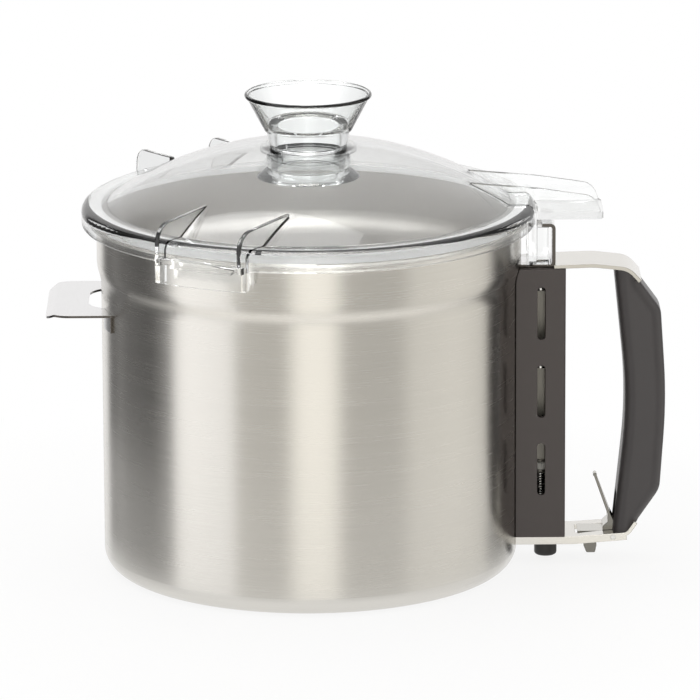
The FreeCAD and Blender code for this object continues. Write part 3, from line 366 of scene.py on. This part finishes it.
# Trigger and pawl. Thin stainless pressing, tapered and rolled at its tip, with the pawl welded to its foot.
# It swings on the pin between the cheeks of the bottom strap, and its faces turned to the front or back are
# darkened as painted shade.
trigger_steel = brushed_steel(
    "pressed trigger steel", dark=(0.50, 0.49, 0.46), light=(0.64, 0.63, 0.59), lines=(900.0, 900.0, 60.0),
    roughness=(0.14, 0.24), depth=0.00001, edge=0.0005)
# Painted shade on the trigger's and pawl's faces that turn to the front or back.
paint_edge_shade(trigger_steel, (0.20, 0.195, 0.18))
dress(trigger_steel, "trigger_lever", "latch_pawl")

# Blade set. Black nylon hub, spacer and nut on the column, with two ground steel blades.
# The blades' rings slide over the hub with the spacer between them, and the nut clamps the stack.
hub_plastic = moulded_plastic(
    "black hub nylon", dark=(0.030, 0.030, 0.031), light=(0.045, 0.045, 0.046), grains=1800.0,
    roughness=(0.38, 0.48), depth=0.00002)
dress(hub_plastic, "blade_hub", "blade_spacer", "blade_nut")
blade_steel = brushed_steel(
    "ground blade steel", dark=(0.60, 0.60, 0.60), light=(0.76, 0.76, 0.76), lines=(1500.0, 1500.0, 60.0),
    roughness=(0.12, 0.24), depth=0.00001)
dress(blade_steel, "lower_blade", "upper_blade")

# Lid, funnel and collar. Clear polycarbonate mouldings, polished in the tool.
# The lid is one piece with its lugs and wing, and the funnel is screwed through it onto the collar.
# The wing is thicker than the dome, so it looks greyer.


def mix_shaders(tree, factor, first, second):
    """A shader mixed from two others, by its output."""
    node = tree.nodes.new("ShaderNodeMixShader")
    for value, socket in zip((factor, first, second), node.inputs):
        tree.links.new(value, socket)
    return node.outputs["Shader"]


polish_grains = 900.0


def clear_plastic(name, tint, roughness, index, shade, through=1.0):
    """See-through plastic whose shadow stays light."""
    material, tree, shader = shader_material(name)
    shader.inputs["Base Color"].default_value = (*tint, 1.0)
    shader.inputs["Transmission Weight"].default_value = through
    shader.inputs["IOR"].default_value = index
    haze = placed_grain(tree, polish_grains)["Haze"]
    tree.links.new(spread(tree, haze, *roughness), shader.inputs["Roughness"])
    shadow = tree.nodes.new("ShaderNodeBsdfTransparent")
    shadow.inputs["Color"].default_value = (shade, shade, shade, 1.0)
    rays = tree.nodes.new("ShaderNodeLightPath")
    lit = mix_shaders(tree, rays.outputs["Is Shadow Ray"], shader.outputs["BSDF"], shadow.outputs["BSDF"])
    tree.links.new(lit, tree.nodes["Material Output"].inputs["Surface"])
    return material


dome_tint = (0.975, 0.981, 0.979)
wing_tint = (0.915, 0.920, 0.918)
wing_root = 0.117
wing_start = 0.123
clear_lid = clear_plastic("clear polycarbonate", dome_tint, roughness=(0.0, 0.02), index=1.56, shade=0.92)
lid_tree = clear_lid.node_tree
along_wing = parts_of(lid_tree, coordinates(lid_tree, "Object"))["X"]
on_wing = map_range(lid_tree, along_wing, wing_root, wing_start, smooth=False)
lid_tint = mix_colours(lid_tree, on_wing, dome_tint, wing_tint)
lid_tree.links.new(lid_tint, principled(clear_lid).inputs["Base Color"])
dress(clear_lid, "lid_dome")
clear_funnel = clear_plastic(
    "clear funnel polycarbonate", (0.955, 0.966, 0.962), roughness=(0.0, 0.02), index=1.46, shade=0.92)
dress(clear_funnel, "lid_funnel", "funnel_collar")

# Gasket and funnel washer. Translucent silicone, moulded rings.
# The gasket sits under the lid's brim and seals on the bowl's rim.
# The washer seals the dome's hole from below.


def mesh_piece(name, bm):
    """A new object in the scene from a finished mesh."""
    mesh = bpy.data.meshes.new(name)
    bm.to_mesh(mesh)
    bm.free()
    piece = bpy.data.objects.new(name, mesh)
    bpy.context.scene.collection.objects.link(piece)
    return piece


def spun_ring(name, inner, outer, low, high, edge):
    """A ring with rounded edges, spun from its section."""
    bm = bmesh.new()
    bmesh.ops.create_grid(bm, x_segments=1, y_segments=1, size=0.5)
    bmesh.ops.scale(bm, vec=(outer - inner, high - low, 1), verts=bm.verts)
    bmesh.ops.bevel(bm, geom=bm.verts[:], offset=edge, segments=4, profile=0.5, affect="VERTICES",
                    material=-1)
    upright = Matrix.Rotation(math.pi / 2, 3, "X")
    bmesh.ops.rotate(bm, cent=(0, 0, 0), matrix=upright, verts=bm.verts)
    bmesh.ops.translate(bm, vec=((inner + outer) / 2, 0, (low + high) / 2), verts=bm.verts)
    bmesh.ops.delete(bm, geom=bm.faces[:], context="FACES_ONLY")
    bmesh.ops.spin(bm, geom=bm.verts[:] + bm.edges[:], axis=(0, 0, 1), cent=(0, 0, 0), angle=2 * math.pi,
                   steps=128, use_merge=True)
    bmesh.ops.remove_doubles(bm, verts=bm.verts, dist=1e-7)
    bmesh.ops.recalc_face_normals(bm, faces=bm.faces)
    for face in bm.faces:
        face.smooth = True
    return mesh_piece(name, bm)


clear_rubber = clear_plastic(
    "translucent silicone", (0.96, 0.965, 0.965), roughness=(0.28, 0.38), index=1.41, shade=0.85,
    through=0.55)
ring_gap = 0.0001
gasket_inner = 0.1092
gasket_outer = 0.1156
gasket_round = 0.0009
gasket_low, gasket_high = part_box("lid_gasket")
gasket = spun_ring("lid_gasket_ring", gasket_inner, gasket_outer - ring_gap, gasket_low.z + ring_gap,
                   gasket_high.z - ring_gap, gasket_round)
gasket.data.materials.append(clear_rubber)
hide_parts("lid_gasket")
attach(gasket, "lid")
washer_clear = clear_plastic(
    "clear washer silicone", (0.97, 0.975, 0.975), roughness=(0.06, 0.12), index=1.41, shade=0.9)
dress(washer_clear, "funnel_seal")

# Studio floor. A pale painted disc that fades into the white room at its edge.
# Seen directly it is nearly white and keeps the bowl's shadow, and the steel mirrors only the part close by.
floor_radius = 0.34
fade_radius = 0.24
near_radius = 0.118
far_radius = 0.165
floor_least_white = 0.84
mirrored_glow = 0.85
mirrored_clear = 0.65
floor_bm = bmesh.new()
bmesh.ops.create_circle(floor_bm, cap_ends=True, segments=96, radius=floor_radius)
floor = mesh_piece("studio_floor", floor_bm)
floor_paint, floor_tree, floor_shader = shader_material("white floor")
floor_shader.inputs["Base Color"].default_value = (0.92, 0.92, 0.92, 1.0)
floor_shader.inputs["Roughness"].default_value = 0.6
floor_shader.inputs["Specular IOR Level"].default_value = 0.2
floor_white = floor_tree.nodes.new("ShaderNodeEmission")
floor_gone = floor_tree.nodes.new("ShaderNodeBsdfTransparent")
floor_rays = floor_tree.nodes.new("ShaderNodeLightPath").outputs
reach = vector_node(floor_tree, "LENGTH", coordinates(floor_tree, "Object"))
fade = map_range(floor_tree, reach, fade_radius, floor_radius, floor_least_white, 1.0)
near = map_range(floor_tree, reach, near_radius, far_radius, mirrored_glow, 0.0)
seen = math_node(floor_tree, "MAXIMUM", floor_rays["Is Camera Ray"], floor_rays["Is Transmission Ray"])
plain = math_node(floor_tree, "MULTIPLY", seen, fade)
mirrored = math_node(floor_tree, "MULTIPLY", floor_rays["Is Glossy Ray"], near)
white_share = math_node(floor_tree, "ADD", plain, mirrored)
painted = mix_shaders(floor_tree, white_share, floor_shader.outputs["BSDF"], floor_white.outputs["Emission"])
beyond = math_node(floor_tree, "SUBTRACT", floor_rays["Is Glossy Ray"], mirrored)
clear_share = math_node(floor_tree, "MULTIPLY", beyond, mirrored_clear)
floor_cut = mix_shaders(floor_tree, clear_share, painted, floor_gone.outputs["BSDF"])
floor_tree.links.new(floor_cut, floor_tree.nodes["Material Output"].inputs["Surface"])
floor.data.materials.append(floor_paint)

# Studio room. White behind the bowl and grey in front, with a dark screen at each side that draws its edges.
# Light that comes back out of the bowl through the lid has its own wall, with a bright window overhead.
# Looked at directly, the room is plain white.
world = bpy.data.worlds.new("studio_room")
bpy.context.scene.world = world
world.use_nodes = True
room = world.node_tree
direction = parts_of(room, coordinates(room, "Generated"))
rise = direction["Z"]
azimuth = math_node(room, "ARCTAN2", direction["X"], math_node(room, "MULTIPLY", direction["Y"], -1.0))
turn = map_range(room, azimuth, -math.pi, math.pi, smooth=False)


def wall_ramp(steps, tint_at):
    """Brightness round the room from (degrees, level) steps, tinted by direction. 0 is the camera's side."""
    node = room.nodes.new("ShaderNodeValToRGB")
    ramp = node.color_ramp
    ramp.interpolation = "EASE"
    while len(ramp.elements) < len(steps):
        ramp.elements.new(0.5)
    for stop, (degrees, level) in zip(ramp.elements, steps):
        stop.position = (degrees + 180) / 360
        stop.color = (*(level * part for part in tint_at(degrees)), 1.0)
    room.links.new(turn, node.inputs["Fac"])
    return node.outputs["Color"]


white = (1.0, 1.0, 1.0)
cool_white = (1.0, 0.99, 0.985)
warm_white = (1.0, 0.975, 0.92)
warm_from = -44
warm_to = 120
wall = wall_ramp(
    [(-180, 1.0), (-155, 1.0), (-145, 0.18), (-138, 0.16), (-131, 0.25), (-120, 0.16), (-98, 0.11),
     (-86, 0.26), (-76, 1.36), (-46, 1.22), (-38, 0.66), (-16, 0.62), (-4, 1.32), (10, 1.32), (22, 0.6),
     (48, 0.6), (62, 0.86), (88, 0.92), (112, 0.84), (120, 0.24), (140, 0.24), (150, 1.0), (180, 1.0)],
    lambda degrees: warm_white if warm_from < degrees < warm_to else cool_white)
inside_wall = wall_ramp(
    [(-180, 0.85), (-142, 0.85), (-128, 0.5), (-105, 0.5), (-88, 0.8), (-60, 1.0), (-40, 0.8), (-22, 1.1),
     (-10, 2.2), (12, 2.2), (24, 1.1), (40, 1.0), (70, 1.1), (88, 0.8), (98, 0.5), (128, 0.5),
     (142, 0.85), (180, 0.85)],
    lambda degrees: white)

# The limits below are heights, or depths away from the camera, on a sphere of radius 1 round the bowl.
low_wall = scaled(room, wall, map_range(room, rise, low=-0.9, high=-0.4, to_low=0.3))
ground_light = (1.4, 1.37, 1.3)
ground = map_range(room, rise, low=-0.55, high=-0.72)
grounded = mix_colours(room, ground, low_wall, ground_light)
ceiling = map_range(room, rise, low=0.55, high=0.9)
room_colour = mix_colours(room, ceiling, grounded, white)
ray = room.nodes.new("ShaderNodeLightPath").outputs
unmirrored = math_node(room, "LESS_THAN", ray["Glossy Depth"], 0.5)
straight_through = math_node(room, "MULTIPLY", ray["Is Transmission Ray"], unmirrored)
from_inside = math_node(room, "SUBTRACT", ray["Is Transmission Ray"], straight_through)
window_strength = 4.0
window_sill = map_range(room, rise, low=0.3, high=0.75, to_high=1.4)
window_top = map_range(room, rise, low=0.93, high=0.8)
nearer = map_range(room, direction["Y"], low=0.2, high=0.5, to_low=1.0, to_high=0.0)
window = math_node(room, "MULTIPLY", from_inside, window_sill)
window = math_node(room, "MULTIPLY", window, nearer)
window = math_node(room, "MULTIPLY", window, window_top)
inside_gain = math_node(room, "ADD", math_node(room, "MULTIPLY", window, window_strength), 1.0)
inside_room = scaled(room, mix_colours(room, from_inside, room_colour, inside_wall), inside_gain)
far_side = map_range(room, direction["Y"], low=0.45, high=0.75, to_low=0.4)
sky = map_range(room, rise, low=0.4, high=0.8)
through_level = math_node(room, "MAXIMUM", far_side, sky)
through_lid = mix_colours(room, straight_through, inside_room, through_level)
seen_room = mix_colours(room, ray["Is Camera Ray"], through_lid, white)
room.links.new(seen_room, room.nodes["Background"].inputs["Color"])
room.nodes["Background"].inputs["Strength"].default_value = 1.0

# Studio lamp. One large soft square lamp above and to the left of the bowl.
# It lays the faint shadow on the floor.
lamp_place = Vector((-0.5, 0.2, 2.2))
lamp_aim = Vector((0.0, 0.0, (cad_low.z + cad_high.z) / 2))
lamp_top = bpy.data.lights.new("lamp_top", "AREA")
lamp_top.size = 1.6
lamp_top.energy = 12.0
lamp_holder = bpy.data.objects.new("lamp_top", lamp_top)
lamp_holder.location = lamp_place
lamp_holder.rotation_euler = (lamp_aim - lamp_place).to_track_quat("-Z", "Y").to_euler()
bpy.context.scene.collection.objects.link(lamp_holder)

# Camera. A long lens a little above the rim, with the handle to the right.
# It looks along the bowl's middle line, and the lens is shifted to frame the handle.
camera_distance = 3.5
camera_rise = math.radians(14.645)
camera_roll = math.radians(-0.327)
aim_height = 0.1
view = bpy.data.cameras.new("photo_camera")
view.sensor_width = 36.0
view.lens = 338.66
view.shift_x = 0.05767
view.shift_y = 0.0404
camera = bpy.data.objects.new("photo_camera", view)
camera_back = camera_distance * math.cos(camera_rise)
camera_up = camera_distance * math.sin(camera_rise)
camera.location = (0, -camera_back, aim_height + camera_up)
tilt = Euler((math.pi / 2 - camera_rise, 0, 0)).to_matrix()
camera.rotation_euler = (tilt @ Matrix.Rotation(camera_roll, 3, "Z")).to_euler()
bpy.context.scene.collection.objects.link(camera)
bpy.context.scene.camera = camera
bpy.context.scene.view_settings.view_transform = "Standard"
